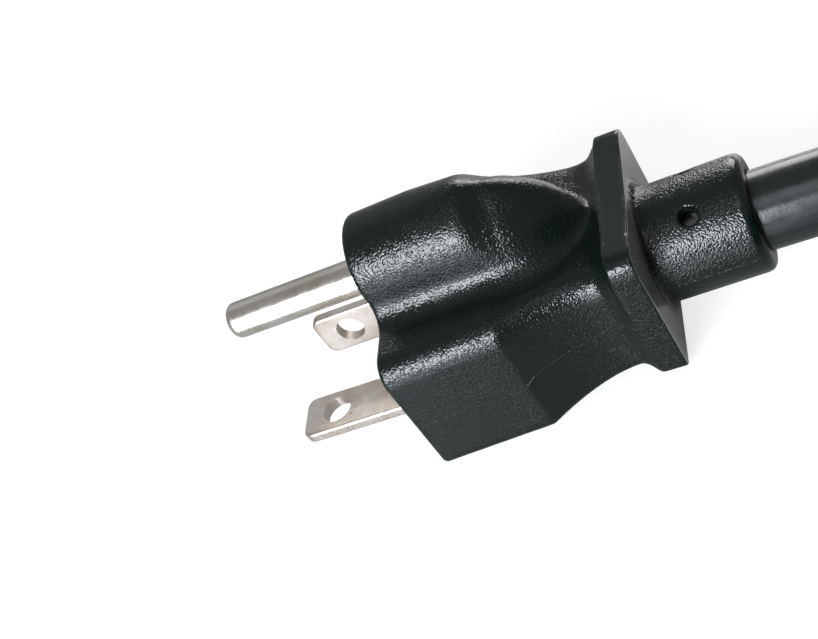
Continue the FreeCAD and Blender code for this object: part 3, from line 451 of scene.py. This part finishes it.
def body_material():
    """Black PVC with a leathery grain, smooth rims, a polished guard back lightened by a painted reflection,
    and the mould's parting line.
    """
    shader = Shader("grained_black_pvc")
    cloud = shader.noise(9 * MM, 3)
    darker, lighter = (0.0022, 0.0058, 0.0045, 1), (0.0034, 0.0080, 0.0064, 1)
    black_pvc = shader.ramp(cloud, [(0.3, darker), (0.7, lighter)])
    across, along, up = shader.axes()
    fine = shader.noise(PEBBLE_SIZE, 0)
    coarse = shader.noise(LUMP_SIZE, 1)

    on_guard = shader.between(along, GUARD_FRONT + 0.3 * MM, GUARD_BACK + 0.1 * MM, 0.2 * MM)
    smooth_top = shader.multiply(on_guard, shader.range(shader.facing("Z"), 0.5, 0.8, 0, 1))
    end_ring = shader.range(along, *END_RING, 0, 1)
    rear_face = shader.multiply(on_guard, shader.range(shader.facing("Y"), 0.75, 0.9, 0, 1))
    from_sleeve = shader.distance(across, shader.minus(up, SLEEVE_HEIGHT))
    rear_face = shader.multiply(rear_face, shader.range(from_sleeve, *POLISH_AND_PAINTED_REFLECTION_EDGE, 0.15, 1))
    smoother = shader.maximum(shader.maximum(smooth_top, end_ring), rear_face)
    grain_depth = shader.range(smoother, 0, 1, 1.0, SMOOTH_GRAIN_SHARE)

    line_height = shader.parting_height(along)
    bead = shader.between(shader.minus(up, line_height), -BEAD_WIDTH, BEAD_WIDTH, BEAD_WIDTH)
    broken = shader.range(shader.noise(2.2 * MM, 2), 0.36, 0.46, 0.2, 1.0)
    bead = shader.multiply(bead, broken)

    shader.link("Roughness", shader.range(coarse, 0.3, 0.7, 0.13, 0.20))
    cells = shader.node("ShaderNodeTexVoronoi", [("Vector", shader.place())], Scale=1 / CELL_SIZE)
    dome = shader.range(cells.outputs["Distance"], 0.05, 0.6, 1, 0)
    domes = shader.bump(dome, CELL_DEPTH, strength=grain_depth)
    pebbles = shader.bump(fine, PEBBLE_DEPTH, strength=grain_depth, normal=domes)
    lumps = shader.bump(coarse, LUMP_DEPTH, strength=grain_depth, normal=pebbles)
    shader.link("Normal", shader.bump(bead, BEAD_DEPTH, normal=lumps))
    shader.link("Coat Weight", rear_face)
    # Painted reflection: the guard's rear face gets a lighter grey base colour, on top of its real coat
    painted_reflection_colour = shader.node("ShaderNodeVectorMath", operation="ADD")
    shader.feed(painted_reflection_colour.inputs[0], black_pvc)
    shader.feed(painted_reflection_colour.inputs[1], shader.multiply(rear_face, REAR_FACE_PAINTED_REFLECTION))
    shader.link("Base Color", painted_reflection_colour.outputs["Vector"])
    shader.set(Specular_IOR_Level=0.42, Coat_IOR=5.0, Coat_Roughness=0.2)
    return shader.material


def cord_material():
    """Smooth satin jacket with faint ripples and fine bumps."""
    shader = Shader("satin_black_jacket")
    cloud = shader.noise(14 * MM, 2)
    darker, lighter = (0.0045, 0.0080, 0.0078, 1), (0.0065, 0.0105, 0.0100, 1)
    shader.link("Base Color", shader.ramp(cloud, [(0.3, darker), (0.7, lighter)]))
    ripple = shader.noise(1.6 * MM, 2)
    fine = shader.noise(0.25 * MM, 2)
    shader.link("Roughness", shader.range(ripple, 0.3, 0.7, 0.20, 0.27))
    shader.set(Specular_IOR_Level=0.65)
    soft = shader.bump(ripple, 0.018 * MM)
    shader.link("Normal", shader.bump(fine, 0.008 * MM, normal=soft))
    return shader.material


def plated_material(name, low, high, roughness):
    """Nickel plate over brass with fine tooling lines along the pin."""
    shader = Shader(name)
    stain = shader.noise(5 * MM, 3, 0.6)
    shader.link("Base Color", shader.ramp(stain, [(0.35, (*low, 1)), (0.65, (*high, 1))]))
    lines = shader.noise(0.25 * MM, 3, vector=shader.place(scale=(1, 0.06, 1)))
    spots = shader.noise(1.2 * MM, 3)
    shader.link("Roughness", shader.range(spots, 0.3, 0.7, roughness - 0.04, roughness + 0.06))
    shader.link("Normal", shader.bump(lines, 0.006 * MM))
    shader.set(Metallic=1.0)
    return shader.material


def plain_plastic(name, colour, roughness=0.4):
    """Extruded or moulded plastic with slight unevenness in colour and gloss."""
    shader = Shader(name)
    darker = tuple(channel * 0.85 for channel in colour)
    shader.link("Base Color", shader.ramp(shader.noise(3 * MM), [(0.3, (*darker, 1)), (0.7, (*colour, 1))]))
    shader.link("Roughness", shader.range(shader.noise(1 * MM), 0.3, 0.7, roughness - 0.05, roughness + 0.05))
    shader.link("Normal", shader.bump(shader.noise(0.5 * MM), 0.01 * MM))
    return shader.material


def dress(piece, material):
    piece.data.materials.clear()
    piece.data.materials.append(material)


blade_metal = plated_material("plated_blade", (0.66, 0.56, 0.48), (0.86, 0.79, 0.73), 0.30)
pin_metal = plated_material("plated_pin", (0.72, 0.66, 0.58), (0.88, 0.84, 0.80), 0.24)
copper = plated_material("bare_copper", (0.60, 0.28, 0.15), (0.80, 0.42, 0.25), 0.32)
green = plain_plastic("green_insulation", (0.02, 0.20, 0.06))
black = plain_plastic("black_insulation", (0.012, 0.012, 0.013))
white = plain_plastic("white_insulation", (0.72, 0.71, 0.67))
tie_plastic = plain_plastic("tie_strap", (0.016, 0.016, 0.018), 0.55)
carrier_plastic = plain_plastic("carrier_plastic", (0.02, 0.02, 0.021), 0.5)

dress(plug_body, body_material())
dress(cord_jacket, cord_material())
dress(nodes["ground_pin"], pin_metal)
dress(nodes["upright_blade"], blade_metal)
dress(nodes["level_blade"], blade_metal)
dress(nodes["pin_carrier"], carrier_plastic)
for core, cover in (("ground", green), ("upright_line", black), ("level_line", white)):
    dress(nodes[f"{core}_core"], cover)
    dress(nodes[f"{core}_lead"], cover)
    dress(nodes[f"{core}_strands"], copper)
    dress(nodes[f"{core}_lead_end"], copper)
for tie in ("coil_tie_1", "coil_tie_2"):
    dress(nodes[tie], tie_plastic)


# Stage: a pale floor that is white to the camera, keeps the shadow and glows a little in reflections
FLOOR_REACH = 3.0
FLOOR_CAMERA_GLOW = 0.75
FLOOR_MIRROR_GLOW = 0.05
SKY_STRENGTH = 0.26
COOL_WHITE = (0.89, 0.94, 1.0)
# Name, azimuth, elevation, distance, width, height, brightness and colour. Azimuth 0 is +X and 90 is +Y
SOFTBOXES = [
    ("side_strip", -20, 22, 0.8, 0.38, 0.46, 20.0, COOL_WHITE),
    ("rear_box", 170, 20, 0.8, 0.42, 0.40, 5.0, (1, 1, 1)),
    ("front_fill", 208, 40, 0.9, 0.7, 0.5, 0.2, COOL_WHITE),
    ("high_strip", 2, 63, 0.8, 0.2, 0.36, 1.8, COOL_WHITE),
]


def make_floor():
    reach = FLOOR_REACH
    mesh = bpy.data.meshes.new("floor")
    corners = [(-reach, -reach, 0), (reach, -reach, 0), (reach, reach, 0), (-reach, reach, 0)]
    mesh.from_pydata(corners, [], [(0, 1, 2, 3)])
    floor = bpy.data.objects.new("floor", mesh)
    scene.collection.objects.link(floor)
    shader = Shader("pale_floor")
    shader.set(Base_Color=grey(0.38), Roughness=0.12, Specular_IOR_Level=0.5)
    path = shader.node("ShaderNodeLightPath")
    seen = shader.multiply(path.outputs["Is Camera Ray"], FLOOR_CAMERA_GLOW)
    mirrored = shader.multiply(path.outputs["Is Glossy Ray"], FLOOR_MIRROR_GLOW)
    shader.link("Emission Strength", shader.maximum(seen, mirrored))
    shader.set(Emission_Color=grey(1.0))
    dress(floor, shader.material)


def make_world():
    """White to the camera, and a soft even light on the object."""
    world = bpy.data.worlds.new("studio")
    scene.world = world
    world.use_nodes = True
    tree = world.node_tree
    background = tree.nodes["Background"]
    path = tree.nodes.new("ShaderNodeLightPath")
    camera_part = tree.nodes.new("ShaderNodeMath")
    camera_part.operation = "MULTIPLY_ADD"
    tree.links.new(path.outputs["Is Camera Ray"], camera_part.inputs[0])
    camera_part.inputs[1].default_value = 1 - SKY_STRENGTH
    camera_part.inputs[2].default_value = SKY_STRENGTH
    background.inputs["Color"].default_value = grey(1.0)
    tree.links.new(camera_part.outputs[0], background.inputs["Strength"])


def make_softbox(name, azimuth, elevation, distance, width, height, brightness, colour):
    """A rectangular lamp aimed at the plug."""
    data = bpy.data.lights.new(name, "AREA")
    data.shape = "RECTANGLE"
    data.size = width
    data.size_y = height
    data.energy = brightness * math.pi * width * height
    data.color = colour
    lamp = bpy.data.objects.new(name, data)
    turn, rise = math.radians(azimuth), math.radians(elevation)
    way = Vector((math.cos(turn) * math.cos(rise), math.sin(turn) * math.cos(rise), math.sin(rise)))
    lamp.matrix_world = Matrix.Translation(way * distance) @ way.to_track_quat("Z", "Y").to_matrix().to_4x4()
    scene.collection.objects.link(lamp)


make_floor()
make_world()
for softbox in SOFTBOXES:
    make_softbox(*softbox)

bpy.context.view_layer.update()
